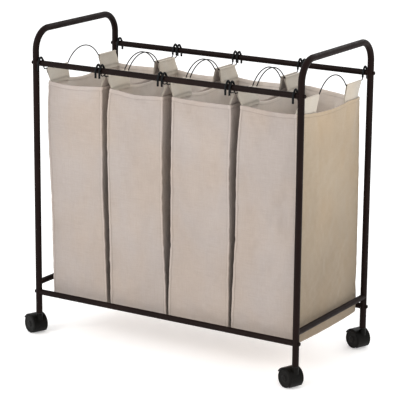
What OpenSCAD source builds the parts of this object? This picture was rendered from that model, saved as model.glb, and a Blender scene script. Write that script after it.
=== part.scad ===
/* [Frame] */
// Distance between the left and right leg centre lines, along X
leg_span_x = 800; // [780:5:840]
// Distance between the front and rear leg centre lines, along Y
leg_span_y = 370; // [360:2:380]
// Height of the top handle's centre line above the floor
handle_z = 838.5; // [832:0.5:848]
// Outer diameter of the legs and the top handles
leg_d = 17.5; // [17:0.5:19]
// Outer diameter of the cross rails and side rails
rail_d = 15.5; // [14.5:0.5:16]
// Wall thickness of every steel tube
tube_wall = 1.2; // [0.9:0.1:1.4]
// Bend radius of the handle corners at the tube's centre line
handle_bend_r = 55; // [48:1:60]
// Height of the joint between each leg and its handle
leg_joint_z = 732; // [726:1:736]
// Height of the bottom end of each leg
leg_foot_z = 60; // [60:1:62]

/* [Rails] */
// Height of the two top rails that carry the bags
top_rail_z = 752; // [750:1:754]
// Height of the front and rear bottom rails
bottom_rail_z = 119; // [112:1:126]
// Height of the left and right side rails
side_rail_z = 146; // [142:1:150]

/* [Bags] */
// Position along the rails of the hook pair between bags 1 and 2
pair_1_x = -194; // [-198:1:-188]
// Position along the rails of the hook pair between bags 2 and 3
pair_2_x = -2; // [-6:1:6]
// Position along the rails of the hook pair between bags 3 and 4
pair_3_x = 198; // [188:1:200]
// Distance between the two wires of a hook pair
pair_gap = 12; // [11:0.5:16]
// Distance from the centre to the outermost wire, along X
end_wire_x = 384; // [380:1:385]
// Depth of each bag from front to back
bag_depth = 328; // [316:2:332]
// Height of the underside of the bags
bag_bottom_z = 98; // [94:1:104]
// Height of the rim of the bags
bag_mouth_z = 698; // [690:1:700]
// Thickness of the bag cloth with its lining
cloth_t = 1.2; // [1:0.1:1.6]

/* [Bag wires] */
// Diameter of the bent carrying wire
wire_d = 3; // [2.6:0.1:3.2]
// Outer diameter of the plastic sleeve on each hook
sleeve_d = 5.6; // [5.2:0.1:5.8]
// Height of the straight run of the wires
wire_z = 734; // [732:1:736]
// Width of the raised wire handle at its feet
arch_w = 144; // [120:6:150]
// Position of the raised wire handle's middle, along Y
arch_y = 8; // [0:1:12]

/* [Casters] */
// Diameter of the caster wheels
wheel_d = 50; // [48:1:50]
// Width of each caster wheel
wheel_w = 14.5; // [12:0.5:14.5]
// Distance from the swivel axis to the wheel axle
caster_trail = 19; // [16:1:20]
// Direction in which the casters trail, in degrees about Z from +X
caster_heading = 159; // [0:1:359]

/* [Hidden] */
$fn = 48;
lx = leg_span_x / 2;
ly = leg_span_y / 2;
leg_r = leg_d / 2;
rail_r = rail_d / 2;
leg_ri = leg_r - tube_wall;
bolt_r = 2.4;
hole_r = 2.6;
bronze = [0.16, 0.12, 0.10];
plastic = [0.07, 0.07, 0.07];
cloth = [0.78, 0.71, 0.63];
steel = [0.62, 0.62, 0.64];
// Wire positions of each bag: [left wire, right wire]
BAG_X = [
  [-end_wire_x, pair_1_x - pair_gap / 2],
  [pair_1_x + pair_gap / 2, pair_2_x - pair_gap / 2],
  [pair_2_x + pair_gap / 2, pair_3_x - pair_gap / 2],
  [pair_3_x + pair_gap / 2, end_wire_x]
];
// Hook outline around a rail: half width, and height of its shoulder bends over the rail axis.
// Its sloping sides, and the arch's, rise 4 for every 3 across, so each bend has round coordinates.
hook_w = 12.6;
hook_shoulder_z = 2;
hook_bend_r = 5.4;
tail_z = top_rail_z - 17;
wheel_r = wheel_d / 2;
wheel_y0 = 7;
hood_r = wheel_r + 3.6;
hood_t = 2.4;
stem_r = 4;

// ---------- rods and tubes bent in one plane ----------
function dir2(a, b) = (b - a) / norm(b - a);
function turn(p, i) =
  let (u = dir2(p[i - 1], p[i]), v = dir2(p[i], p[i + 1]))
  atan2(u[0] * v[1] - u[1] * v[0], u[0] * v[0] + u[1] * v[1]);
function setback(p, r, i) =
  (i <= 0 || i >= len(p) - 1) ? 0 : r[i] * tan(abs(turn(p, i)) / 2);

// A rod, or a tube where bore > 0, through corner points p (X, Y), with bend radii r.
// ring > 0 puts a ring that much larger than the rod where a straight meets a bend.
module bent_rod(p, r, d, bore = 0, ring = 0) {
  g = ring > 0 ? 0.02 : 0;
  for (i = [0 : len(p) - 2]) {
    u = dir2(p[i], p[i + 1]);
    g0 = i > 0 ? g : 0;
    g1 = i < len(p) - 2 ? g : 0;
    a = p[i] + u * setback(p, r, i);
    l = norm(p[i + 1] - p[i]) - setback(p, r, i) - setback(p, r, i + 1);
    translate([a[0], a[1], 0]) rotate([0, 0, atan2(u[1], u[0])]) rotate([0, 90, 0]) {
      translate([0, 0, g0]) difference() {
        cylinder(d = d, h = l - g0 - g1);
        if (bore > 0) translate([0, 0, -1]) cylinder(d = bore, h = l + 2);
      }
      for (z = concat(i > 0 ? [0] : [], i < len(p) - 2 ? [l] : [])) if (ring > 0)
        translate([0, 0, z]) difference() {
          cylinder(d = d + ring, h = 0.4, center = true);
          if (bore > 0) cylinder(d = bore + 0.3, h = 1, center = true);
        }
    }
  }
  for (i = [1 : max(1, len(p) - 2)]) if (i < len(p) - 1) {
    t = turn(p, i);
    s = sign(t);
    u = dir2(p[i - 1], p[i]);
    c = p[i] - u * setback(p, r, i) + [-u[1], u[0]] * s * r[i];
    a0 = atan2(u[1], u[0]) - s * 90 + (s > 0 ? 0 : t);
    translate([c[0], c[1], 0]) rotate([0, 0, a0])
      rotate_extrude(angle = abs(t)) translate([r[i], 0]) difference() {
        circle(d = d);
        if (bore > 0) circle(d = bore);
      }
  }
}

// ---------- frame ----------
module handle_tube(side) {
  p = [[-ly, leg_joint_z + 0.3], [-ly, handle_z], [ly, handle_z], [ly, leg_joint_z + 0.3]];
  color(bronze) translate([side * lx, 0, 0]) difference() {
    rotate([90, 0, 90])
      bent_rod(p, [0, handle_bend_r, handle_bend_r, 0], leg_d, leg_d - 2 * tube_wall);
    for (s = [-1, 1]) translate([-leg_d, s * ly, top_rail_z]) rotate([0, 90, 0])
      cylinder(r = hole_r, h = 2 * leg_d);
  }
}

module leg(sx, sy) {
  color(bronze) translate([sx * lx, sy * ly, 0]) difference() {
    union() {
      translate([0, 0, leg_foot_z]) cylinder(r = leg_r, h = leg_joint_z - 0.8 - leg_foot_z);
      translate([0, 0, leg_joint_z - 0.8]) cylinder(r1 = leg_r, r2 = leg_r - 0.6, h = 0.8);
    }
    translate([0, 0, leg_foot_z - 1]) cylinder(r = leg_ri, h = leg_joint_z - leg_foot_z + 2);
    translate([-leg_d, 0, bottom_rail_z]) rotate([0, 90, 0]) cylinder(r = hole_r, h = 2 * leg_d);
  }
}

module side_rail(side) {
  color(bronze) difference() {
    translate([side * lx, -ly + leg_r - 3, side_rail_z]) rotate([-90, 0, 0]) difference() {
      cylinder(r = rail_r, h = leg_span_y - leg_d + 6);
      translate([0, 0, -1]) cylinder(r = rail_r - tube_wall, h = leg_span_y);
    }
    for (s = [-1, 1]) translate([side * lx, s * ly, side_rail_z - rail_d])
      cylinder(r = leg_r + 0.02, h = 2 * rail_d);
  }
}

module cross_rail(sy, z) {
  color(bronze) difference() {
    translate([-lx + leg_r - 4, sy * ly, z]) rotate([0, 90, 0]) difference() {
      cylinder(r = rail_r, h = leg_span_x - leg_d + 8);
      translate([0, 0, -1]) cylinder(r = rail_r - tube_wall, h = leg_span_x);
    }
    for (s = [-1, 1]) translate([s * lx, sy * ly, z - rail_d])
      cylinder(r = leg_r + 0.02, h = 2 * rail_d);
  }
}

// Short inner tubes that join each leg to its handle
module leg_joint_spigots() {
  color(steel) for (sx = [-1, 1], sy = [-1, 1]) translate([sx * lx, sy * ly, leg_joint_z - 30])
    difference() {
      cylinder(r = leg_ri - 0.05, h = 46);
      translate([0, 0, -1]) cylinder(r = leg_ri - 1.3, h = 48);
      translate([0, 0, 30 + top_rail_z - leg_joint_z]) rotate([0, 90, 0])
        cylinder(r = 4, h = 2 * leg_d, center = true);
    }
}

// Dome-headed bolt from the outside of a leg into a rail end
module rail_bolt(sx, sy, z) {
  translate([sx * (lx + leg_r), sy * ly, z]) rotate([0, sx * 90, 0]) {
    rotate_extrude() polygon([[0, 0.3], [5, 0.3], [5, 2.1], [4.3, 3.2], [2.9, 3.9], [0, 4.1]]);
    translate([0, 0, 0.3 - (leg_d + 19.3)]) cylinder(r = bolt_r, h = leg_d + 19.3);
  }
}
module upper_rail_bolts() {
  color(bronze) for (sx = [-1, 1], sy = [-1, 1]) rail_bolt(sx, sy, top_rail_z);
}
module lower_rail_bolts() {
  color(bronze) for (sx = [-1, 1], sy = [-1, 1]) rail_bolt(sx, sy, bottom_rail_z);
}

// Threaded plugs pressed into the ends of the four cross rails
module rail_end_inserts() {
  color(steel) for (sx = [-1, 1], sy = [-1, 1], z = [top_rail_z, bottom_rail_z])
    translate([sx * (lx - leg_r - 23), sy * ly, z]) rotate([0, sx * 90, 0]) difference() {
      cylinder(r = rail_r - tube_wall - 0.05, h = 20);
      translate([0, 0, -1]) cylinder(r = bolt_r + 0.05, h = 22);
    }
}

// Plastic sockets in the leg feet that hold the caster stems
module caster_sockets() {
  color(plastic) for (sx = [-1, 1], sy = [-1, 1]) translate([sx * lx, sy * ly, leg_foot_z])
    difference() {
      union() {
        translate([0, 0, 0.02]) cylinder(r = leg_ri - 0.05, h = 36);
        translate([0, 0, -1.6]) cylinder(r = leg_r + 0.3, h = 1.6);
        translate([0, 0, -0.05]) cylinder(r = leg_ri - 0.5, h = 0.2);
      }
      translate([0, 0, -3]) cylinder(r = stem_r + 0.05, h = 42);
    }
}

// ---------- casters, in a frame with +X along the trail and the stem on Z ----------
module at_caster(sx, sy) {
  translate([sx * lx, sy * ly, 0]) rotate([0, 0, caster_heading]) children();
}

// Arc-shaped shell over both wheels, a middle web with the axle hub, and the stem boss
module caster_hood_shape() {
  w = wheel_y0 + wheel_w;
  ri = hood_r - hood_t;
  wb = wheel_y0 - 0.9;
  difference() {
    union() {
      translate([caster_trail, 0, wheel_r]) rotate([90, 0, 0]) {
        rotate([0, 0, 28]) rotate_extrude(angle = 196, $fn = 72)
          polygon([[5, -wb], [ri, -wb], [ri, -w], [hood_r - 0.9, -w], [hood_r, -w + 1.4],
                   [hood_r, w - 1.4], [hood_r - 0.9, w], [ri, w], [ri, wb], [5, wb]]);
        translate([0, 0, -wb - 0.4]) cylinder(r = 9, h = 2 * wb + 0.8);
      }
      difference() {
        union() {
          translate([0, 0, 38]) cylinder(r = 8.4, h = 16.6);
          translate([0, 0, 54.6]) cylinder(r1 = 8.4, r2 = 7, h = 2.2);
        }
        translate([caster_trail, 0, wheel_r]) rotate([90, 0, 0])
          cylinder(r = hood_r - 1.1, h = 30, center = true);
      }
    }
    translate([0, 0, 30]) cylinder(r = stem_r, h = 30);
    translate([caster_trail, 0, wheel_r]) rotate([90, 0, 0])
      cylinder(r = 2.5, h = 3 * wheel_y0, center = true);
  }
}

module caster_hood(sx, sy) { color(plastic) at_caster(sx, sy) caster_hood_shape(); }

module caster_stem(sx, sy) {
  color(steel) at_caster(sx, sy) union() {
    translate([0, 0, 40]) cylinder(r = stem_r - 0.01, h = 52);
    translate([0, 0, 92]) cylinder(r1 = stem_r - 0.01, r2 = stem_r - 1.2, h = 1.6);
  }
}

module caster_axle(sx, sy) {
  color(steel) at_caster(sx, sy) translate([caster_trail, 0, wheel_r]) rotate([90, 0, 0])
    cylinder(r = 2.49, h = 2 * (wheel_y0 + wheel_w - 3.4), center = true);
}

// side = -1 or 1: the wheel on either side of the web
module caster_wheel(sx, sy, side) {
  w = wheel_w;
  r = wheel_r;
  color(plastic) at_caster(sx, sy) translate([caster_trail, side * wheel_y0, wheel_r])
    rotate([side > 0 ? -90 : 90, 0, 0]) difference() {
      rotate_extrude($fn = 72) polygon([
        [0, 0], [7, 0], [7, 1.6], [r - 5, 1.6], [r - 5, 0.4], [r - 1.4, 0.4], [r, 1.8],
        [r, w - 2.6], [r - 0.9, w - 1], [r - 2.6, w - 0.4], [r - 4.2, w - 0.4],
        [r - 4.6, w - 1.3], [9.4, w - 1.3], [8.6, w - 0.5], [6.5, w], [0, w]]);
      translate([0, 0, -1]) cylinder(r = 2.55, h = w - 2.2);
    }
}

// ---------- bags ----------
// Corner points of one carrying wire in the Y-Z plane, front tail to rear tail
function wire_path() = let (
    y0 = -ly - hook_w, y1 = -ly + hook_w, zs = top_rail_z + hook_shoulder_z, za = zs + hook_w * 4 / 3,
    f0 = arch_y - arch_w / 2, f1 = arch_y + arch_w / 2, zp = wire_z + arch_w / 2 * 4 / 3)
  [[y0, tail_z], [y0, zs], [-ly, za], [y1, zs], [y1, wire_z],
   [f0, wire_z], [arch_y, zp], [f1, wire_z],
   [-y1, wire_z], [-y1, zs], [ly, za], [-y0, zs], [-y0, tail_z]];
// The arch's radius leaves 2.5 mm of each side for the foot bend and 1 mm straight
arch_r = (arch_w / 2 / 0.6 - 3.5) * 3 / 4;
function wire_bends() = [0, 6, hook_bend_r, 6, 6, 5, arch_r, 5, 6, 6, hook_bend_r, 6, 0];

module wire(x) {
  color(plastic) translate([x, 0, 0]) rotate([90, 0, 90])
    bent_rod(wire_path(), wire_bends(), wire_d, ring = 0.06);
}

// Sleeve over one hook; s = -1 front rail, 1 rear rail
module hook_sleeve(x, s) {
  y0 = -ly - hook_w;
  y1 = -ly + hook_w;
  zs = top_rail_z + hook_shoulder_z;
  za = zs + hook_w * 4 / 3;
  p = [[y0, tail_z], [y0, zs], [-ly, za], [y1, zs], [y1, wire_z + 6.5]];
  translate([x, 0, 0]) mirror([0, s > 0 ? 1 : 0, 0]) {
    rotate([90, 0, 90]) bent_rod(p, [0, 6, hook_bend_r, 6, 0], sleeve_d, wire_d + 0.08, 0.06);
    translate([0, y0, tail_z - 1.6]) cylinder(d = sleeve_d - 0.05, h = 1.7);
  }
}
module hook_sleeves(n) {
  color(plastic) for (x = BAG_X[n - 1], s = [-1, 1]) hook_sleeve(x, s);
}

// One cloth tab: a flat panel under a loop that wraps the wire
module tab(x, ya, yb) {
  difference() {
    union() {
      translate([x - 1, ya, bag_mouth_z - 0.5]) cube([2, yb - ya, wire_z - bag_mouth_z - 1.5]);
      translate([x, ya, wire_z]) rotate([-90, 0, 0]) cylinder(r = 3, h = yb - ya);
    }
    translate([x, ya - 1, wire_z]) rotate([-90, 0, 0]) cylinder(r = wire_d / 2 + 0.2, h = yb - ya + 2);
  }
}

module bag(n) {
  xl = BAG_X[n - 1][0];
  xr = BAG_X[n - 1][1];
  d = bag_depth;
  t = cloth_t;
  color(cloth) union() {
    difference() {
      translate([xl - 1, -d / 2, bag_bottom_z]) cube([xr - xl + 2, d, bag_mouth_z - bag_bottom_z]);
      translate([xl - 1 + t, -d / 2 + t, bag_bottom_z + t])
        cube([xr - xl + 2 - 2 * t, d - 2 * t, bag_mouth_z - bag_bottom_z]);
    }
    for (x = [xl, xr]) {
      tab(x, -d / 2, arch_y - arch_w / 2 - 3);
      tab(x, arch_y + arch_w / 2 + 3, d / 2);
    }
  }
}
module left_wire(n) { wire(BAG_X[n - 1][0]); }
module right_wire(n) { wire(BAG_X[n - 1][1]); }

handle_tube(-1);  // left_handle_tube
handle_tube(1);  // right_handle_tube
leg(-1, -1);  // front_left_leg
leg(-1, 1);  // rear_left_leg
leg(1, -1);  // front_right_leg
leg(1, 1);  // rear_right_leg
side_rail(-1);  // left_side_rail
side_rail(1);  // right_side_rail
cross_rail(-1, top_rail_z);  // front_top_rail
cross_rail(1, top_rail_z);  // rear_top_rail
cross_rail(-1, bottom_rail_z);  // front_bottom_rail
cross_rail(1, bottom_rail_z);  // rear_bottom_rail
leg_joint_spigots();
upper_rail_bolts();
lower_rail_bolts();
rail_end_inserts();
caster_sockets();
caster_hood(-1, -1);  // front_left_caster_hood
caster_stem(-1, -1);  // front_left_caster_stem
caster_axle(-1, -1);  // front_left_caster_axle
caster_wheel(-1, -1, 1);  // front_left_caster_wheel_a
caster_wheel(-1, -1, -1);  // front_left_caster_wheel_b
caster_hood(1, -1);  // front_right_caster_hood
caster_stem(1, -1);  // front_right_caster_stem
caster_axle(1, -1);  // front_right_caster_axle
caster_wheel(1, -1, 1);  // front_right_caster_wheel_a
caster_wheel(1, -1, -1);  // front_right_caster_wheel_b
caster_hood(-1, 1);  // rear_left_caster_hood
caster_stem(-1, 1);  // rear_left_caster_stem
caster_axle(-1, 1);  // rear_left_caster_axle
caster_wheel(-1, 1, 1);  // rear_left_caster_wheel_a
caster_wheel(-1, 1, -1);  // rear_left_caster_wheel_b
caster_hood(1, 1);  // rear_right_caster_hood
caster_stem(1, 1);  // rear_right_caster_stem
caster_axle(1, 1);  // rear_right_caster_axle
caster_wheel(1, 1, 1);  // rear_right_caster_wheel_a
caster_wheel(1, 1, -1);  // rear_right_caster_wheel_b
bag(1);  // bag_1
left_wire(1);  // bag_1_left_wire
right_wire(1);  // bag_1_right_wire
hook_sleeves(1);  // bag_1_hook_sleeves
bag(2);  // bag_2
left_wire(2);  // bag_2_left_wire
right_wire(2);  // bag_2_right_wire
hook_sleeves(2);  // bag_2_hook_sleeves
bag(3);  // bag_3
left_wire(3);  // bag_3_left_wire
right_wire(3);  // bag_3_right_wire
hook_sleeves(3);  // bag_3_hook_sleeves
bag(4);  // bag_4
left_wire(4);  // bag_4_left_wire
right_wire(4);  // bag_4_right_wire
hook_sleeves(4);  // bag_4_hook_sleeves
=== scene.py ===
import math

import bpy
import numpy as np
from mathutils import Matrix, Vector


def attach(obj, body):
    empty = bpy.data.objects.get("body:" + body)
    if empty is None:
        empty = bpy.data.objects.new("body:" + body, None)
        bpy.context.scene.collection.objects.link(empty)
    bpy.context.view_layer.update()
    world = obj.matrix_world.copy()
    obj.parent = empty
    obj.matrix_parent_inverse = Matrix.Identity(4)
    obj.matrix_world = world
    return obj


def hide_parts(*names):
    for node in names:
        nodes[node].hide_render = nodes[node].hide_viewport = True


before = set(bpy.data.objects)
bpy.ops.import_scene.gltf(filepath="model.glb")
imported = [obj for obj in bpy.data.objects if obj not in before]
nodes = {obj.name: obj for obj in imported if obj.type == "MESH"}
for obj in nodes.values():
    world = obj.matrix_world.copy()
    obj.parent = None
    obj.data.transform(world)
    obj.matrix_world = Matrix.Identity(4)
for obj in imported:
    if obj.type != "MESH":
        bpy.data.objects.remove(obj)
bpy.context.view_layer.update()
scene = bpy.context.scene

# ---------------------------------------------------------------- camera
AZ, EL, ROLL = math.radians(31.754), math.radians(14.541), math.radians(0.4976)
back = Vector((math.sin(AZ) * math.cos(EL), -math.cos(AZ) * math.cos(EL), math.sin(EL)))
right = Vector((math.cos(AZ), math.sin(AZ), 0.0))
up = back.cross(right)
right_r = right * math.cos(ROLL) + up * math.sin(ROLL)
up_r = -right * math.sin(ROLL) + up * math.cos(ROLL)
cam_data = bpy.data.cameras.new("camera")
cam = bpy.data.objects.new("camera", cam_data)
scene.collection.objects.link(cam)
m = Matrix.Identity(4)
for i in range(3):
    m[i][0], m[i][1], m[i][2] = right_r[i], up_r[i], back[i]
m.translation = Vector((2.58235, -4.17453, 1.6674))
cam.matrix_world = m
cam_data.sensor_width = 36.0
cam_data.lens = 171.4
cam_data.clip_end = 100.0
scene.camera = cam


# ---------------------------------------------------------------- materials
class Nodes:
    """A small helper around one material's node tree."""

    def __init__(self, name):
        self.mat = bpy.data.materials.new(name)
        self.mat.use_nodes = True
        self.tree = self.mat.node_tree
        self.tree.nodes.clear()
        self.out = self.add("ShaderNodeOutputMaterial")
        self.bsdf = self.add("ShaderNodeBsdfPrincipled")
        self.link(self.bsdf.outputs[0], self.out.inputs[0])
        self.coord = self.add("ShaderNodeTexCoord").outputs["Object"]

    def add(self, kind, **props):
        n = self.tree.nodes.new(kind)
        for k, v in props.items():
            setattr(n, k, v)
        return n

    def link(self, a, b):
        self.tree.links.new(a, b)

    def set(self, **values):
        for k, v in values.items():
            self.bsdf.inputs[k.replace("_", " ")].default_value = v

    def mapped(self, scale):
        n = self.add("ShaderNodeMapping")
        n.inputs["Scale"].default_value = scale
        self.link(self.coord, n.inputs["Vector"])
        return n.outputs[0]

    def noise(self, scale, detail=3.0, rough=0.5, vector=None):
        n = self.add("ShaderNodeTexNoise")
        n.inputs["Scale"].default_value = scale
        n.inputs["Detail"].default_value = detail
        n.inputs["Roughness"].default_value = rough
        self.link(vector or self.coord, n.inputs["Vector"])
        return n.outputs["Fac"]

    def math(self, op, a, b=None, c=None, clamp=False):
        n = self.add("ShaderNodeMath", operation=op)
        n.use_clamp = clamp
        for i, v in enumerate((a, b, c)):
            if v is None:
                continue
            if isinstance(v, (int, float)):
                n.inputs[i].default_value = v
            else:
                self.link(v, n.inputs[i])
        return n.outputs[0]

    def ramp(self, fac, stops):
        n = self.add("ShaderNodeValToRGB")
        e = n.color_ramp.elements
        while len(e) < len(stops):
            e.new(0.5)
        for el, (p, c) in zip(e, stops):
            el.position = p
            el.color = (c[0], c[1], c[2], 1.0) if hasattr(c, "__len__") else (c, c, c, 1.0)
        self.link(fac, n.inputs["Fac"])
        return n.outputs["Color"]

    def range(self, fac, lo, hi, to_lo, to_hi):
        n = self.add("ShaderNodeMapRange")
        for i, v in enumerate((lo, hi, to_lo, to_hi)):
            n.inputs[i + 1].default_value = v
        self.link(fac, n.inputs[0])
        return n.outputs[0]

    def bump(self, height, strength, distance):
        n = self.add("ShaderNodeBump")
        n.inputs["Strength"].default_value = strength
        n.inputs["Distance"].default_value = distance
        self.link(height, n.inputs["Height"])
        self.link(n.outputs[0], self.bsdf.inputs["Normal"])

    def separate(self):
        n = self.add("ShaderNodeSeparateXYZ")
        self.link(self.coord, n.inputs[0])
        return n.outputs[0], n.outputs[1], n.outputs[2]


def bronze_material():
    n = Nodes("bronze_coat_finish")
    blotch = n.noise(9.0, 4.0, 0.55)
    speck = n.noise(420.0, 2.0, 0.6)
    mix = n.math("ADD", n.math("MULTIPLY", blotch, 0.6), n.math("MULTIPLY", speck, 0.4))
    n.link(
        n.ramp(mix, [(0.3, (0.0050, 0.0020, 0.0016)), (0.55, (0.0085, 0.0036, 0.0028)), (0.75, (0.0140, 0.0068, 0.0054))]),
        n.bsdf.inputs["Base Color"],
    )
    n.link(n.range(n.noise(60.0, 4.0, 0.6), 0.3, 0.7, 0.46, 0.60), n.bsdf.inputs["Roughness"])
    n.set(Specular_IOR_Level=0.08)
    n.bump(n.noise(900.0, 3.0, 0.6), 0.22, 0.0006)
    return n.mat


def plastic_material(name, dark, light, rough, grain=1400.0, strength=0.25):
    n = Nodes(name)
    blotch = n.noise(22.0, 4.0, 0.6)
    n.link(n.ramp(blotch, [(0.3, dark), (0.7, light)]), n.bsdf.inputs["Base Color"])
    scuff = n.noise(1.0, 5.0, 0.65, n.mapped((160.0, 160.0, 420.0)))
    n.link(n.range(scuff, 0.3, 0.75, rough - 0.07, rough + 0.12), n.bsdf.inputs["Roughness"])
    n.set(Specular_IOR_Level=0.07)
    n.bump(n.noise(grain, 3.0, 0.55), strength, 0.0004)
    return n.mat


def zinc_material():
    n = Nodes("zinc_steel_finish")
    n.link(
        n.ramp(n.noise(180.0, 4.0, 0.6), [(0.3, (0.42, 0.42, 0.43)), (0.7, (0.62, 0.62, 0.61))]),
        n.bsdf.inputs["Base Color"],
    )
    n.link(n.range(n.noise(700.0, 3.0, 0.6), 0.3, 0.7, 0.25, 0.45), n.bsdf.inputs["Roughness"])
    n.set(Metallic=1.0)
    n.bump(n.noise(1.0, 3.0, 0.5, n.mapped((500.0, 500.0, 2500.0))), 0.15, 0.0003)
    return n.mat


THREAD = 0.00085  # spacing of the canvas threads


def canvas_material(name, low, mid, high, across="xz", strength=0.5, toned=True):
    """Plain-woven canvas: two crossing sets of threads with uneven, slubby yarns."""
    n = Nodes(name)
    x, y, z = n.separate()
    if across == "xz":  # upright panels: threads run along x or y, and along z
        p, q = n.math("ADD", x, y), z
    else:  # flat panels
        p, q = x, y
    k = 2 * math.pi / THREAD
    wob = n.math("MULTIPLY", n.noise(70.0, 2.0, 0.5), 0.0011)
    sp = n.math("SINE", n.math("MULTIPLY", n.math("ADD", p, wob), k))
    sq = n.math("SINE", n.math("MULTIPLY", n.math("ADD", q, wob), k))
    weave = n.math("MULTIPLY", sp, sq)
    # slubs: noise stretched along each set of threads
    flat_x = n.noise(1.0, 3.0, 0.6, n.mapped((26.0, 26.0, 900.0) if across == "xz" else (26.0, 900.0, 26.0)))
    flat_z = n.noise(1.0, 3.0, 0.6, n.mapped((640.0, 640.0, 22.0) if across == "xz" else (900.0, 26.0, 26.0)))
    slub = n.math("ADD", n.math("MULTIPLY", flat_x, 0.55), n.math("MULTIPLY", flat_z, 0.45))
    blotch = n.noise(5.5, 5.0, 0.55)
    tone = n.math("ADD", n.math("MULTIPLY", slub, 0.62), n.math("MULTIPLY", blotch, 0.38))
    tone = n.math("ADD", tone, n.math("MULTIPLY", weave, 0.018))
    colour = n.ramp(tone, [(0.34, low), (0.5, mid), (0.66, high)])
    # wide warm and cool patches
    patch = n.ramp(n.noise(1.0, 3.0, 0.55, n.mapped((7.5, 7.5, 4.2))), [(0.40, (0.988, 0.997, 1.012)), (0.62, (1.018, 0.988, 0.950))])
    tint = n.add("ShaderNodeVectorMath", operation="MULTIPLY")
    n.link(colour, tint.inputs[0])
    n.link(patch, tint.inputs[1])
    colour = tint.outputs[0]
    if toned:  # hems and seams are lighter, the sewn grooves beside them darker
        worn = n.add("ShaderNodeAttribute", attribute_name="tone").outputs["Fac"]
        mix = n.add("ShaderNodeVectorMath", operation="SCALE")
        n.link(colour, mix.inputs[0])
        n.link(worn, mix.inputs["Scale"])
        colour = mix.outputs[0]
    n.link(colour, n.bsdf.inputs["Base Color"])
    n.link(n.range(slub, 0.3, 0.7, 0.82, 0.95), n.bsdf.inputs["Roughness"])
    n.set(Sheen_Weight=0.18, Sheen_Roughness=0.45, Specular_IOR_Level=0.22)
    height = n.math("ADD", n.math("MULTIPLY", weave, 0.30), n.math("MULTIPLY", slub, 1.1))
    n.bump(height, strength, 0.00035)
    return n.mat


BRONZE = bronze_material()
BLACK = plastic_material("black_plastic_finish", (0.006, 0.006, 0.006), (0.013, 0.012, 0.012), 0.42)
CASTER = plastic_material("caster_plastic_finish", (0.0022, 0.0021, 0.0018), (0.0062, 0.0057, 0.0048), 0.32, 1800.0, 0.25)
WHEEL = plastic_material("wheel_plastic_finish", (0.0026, 0.0024, 0.0020), (0.0072, 0.0066, 0.0056), 0.36, 1200.0, 0.25)
SLEEVE = plastic_material("sleeve_plastic_finish", (0.0045, 0.0050, 0.0055), (0.010, 0.011, 0.012), 0.34, 900.0, 0.2)
WIRE = plastic_material("black_wire_finish", (0.004, 0.0042, 0.0045), (0.010, 0.010, 0.011), 0.36, 1500.0, 0.2)
ZINC = zinc_material()
CANVAS = canvas_material("canvas_outside", (0.336, 0.288, 0.258), (0.381, 0.328, 0.295), (0.424, 0.368, 0.333))
SIDECLOTH = canvas_material("canvas_sides", (0.356, 0.281, 0.196), (0.403, 0.320, 0.228), (0.447, 0.360, 0.260))
SHADECLOTH = canvas_material("canvas_between", (0.346, 0.291, 0.256), (0.389, 0.327, 0.288), (0.431, 0.366, 0.324))
LINING = canvas_material("canvas_lining", (0.560, 0.500, 0.446), (0.616, 0.552, 0.496), (0.664, 0.600, 0.542), strength=0.4)
BASECLOTH = canvas_material("canvas_base", (0.400, 0.334, 0.290), (0.448, 0.378, 0.330), (0.494, 0.420, 0.370), across="xy")
TABCLOTH = canvas_material("canvas_tabs", (0.452, 0.408, 0.346), (0.502, 0.455, 0.389), (0.548, 0.499, 0.430))
THREADS = canvas_material("canvas_thread", (0.420, 0.356, 0.310), (0.500, 0.430, 0.380), (0.560, 0.490, 0.430), strength=0.3, toned=False)


def finish_for(name):
    if name.endswith(("_hood",)):
        return CASTER
    if "_wheel_" in name:
        return WHEEL
    if name.endswith(("_stem", "_axle")) or name in ("leg_joint_spigots", "rail_end_inserts"):
        return ZINC
    if name == "caster_sockets":
        return BLACK
    if name.endswith("_hook_sleeves"):
        return SLEEVE
    if name.endswith("_wire"):
        return WIRE
    return BRONZE


for name, ob in nodes.items():
    if name in ("bag_1", "bag_2", "bag_3", "bag_4"):
        continue
    ob.data.materials.clear()
    ob.data.materials.append(finish_for(name))


# ---------------------------------------------------------------- mesh helpers
def new_object(name, verts, faces, materials, mat_index=None, smooth=True):
    me = bpy.data.meshes.new(name)
    me.from_pydata([tuple(v) for v in np.asarray(verts, float)], [], [tuple(int(i) for i in f) for f in faces])
    for mt in materials:
        me.materials.append(mt)
    if mat_index is not None:
        me.polygons.foreach_set("material_index", np.asarray(mat_index, np.int32))
    me.polygons.foreach_set("use_smooth", np.full(len(me.polygons), smooth, bool))
    me.update()
    ob = bpy.data.objects.new(name, me)
    scene.collection.objects.link(ob)
    return ob


def vertex_normals(v, quads):
    a, b, c, d = (v[quads[:, i]] for i in range(4))
    fn = np.cross(c - a, d - b)
    n = np.zeros_like(v)
    for i in range(4):
        np.add.at(n, quads[:, i], fn)
    return n / np.maximum(np.linalg.norm(n, axis=1, keepdims=True), 1e-12), fn


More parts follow.
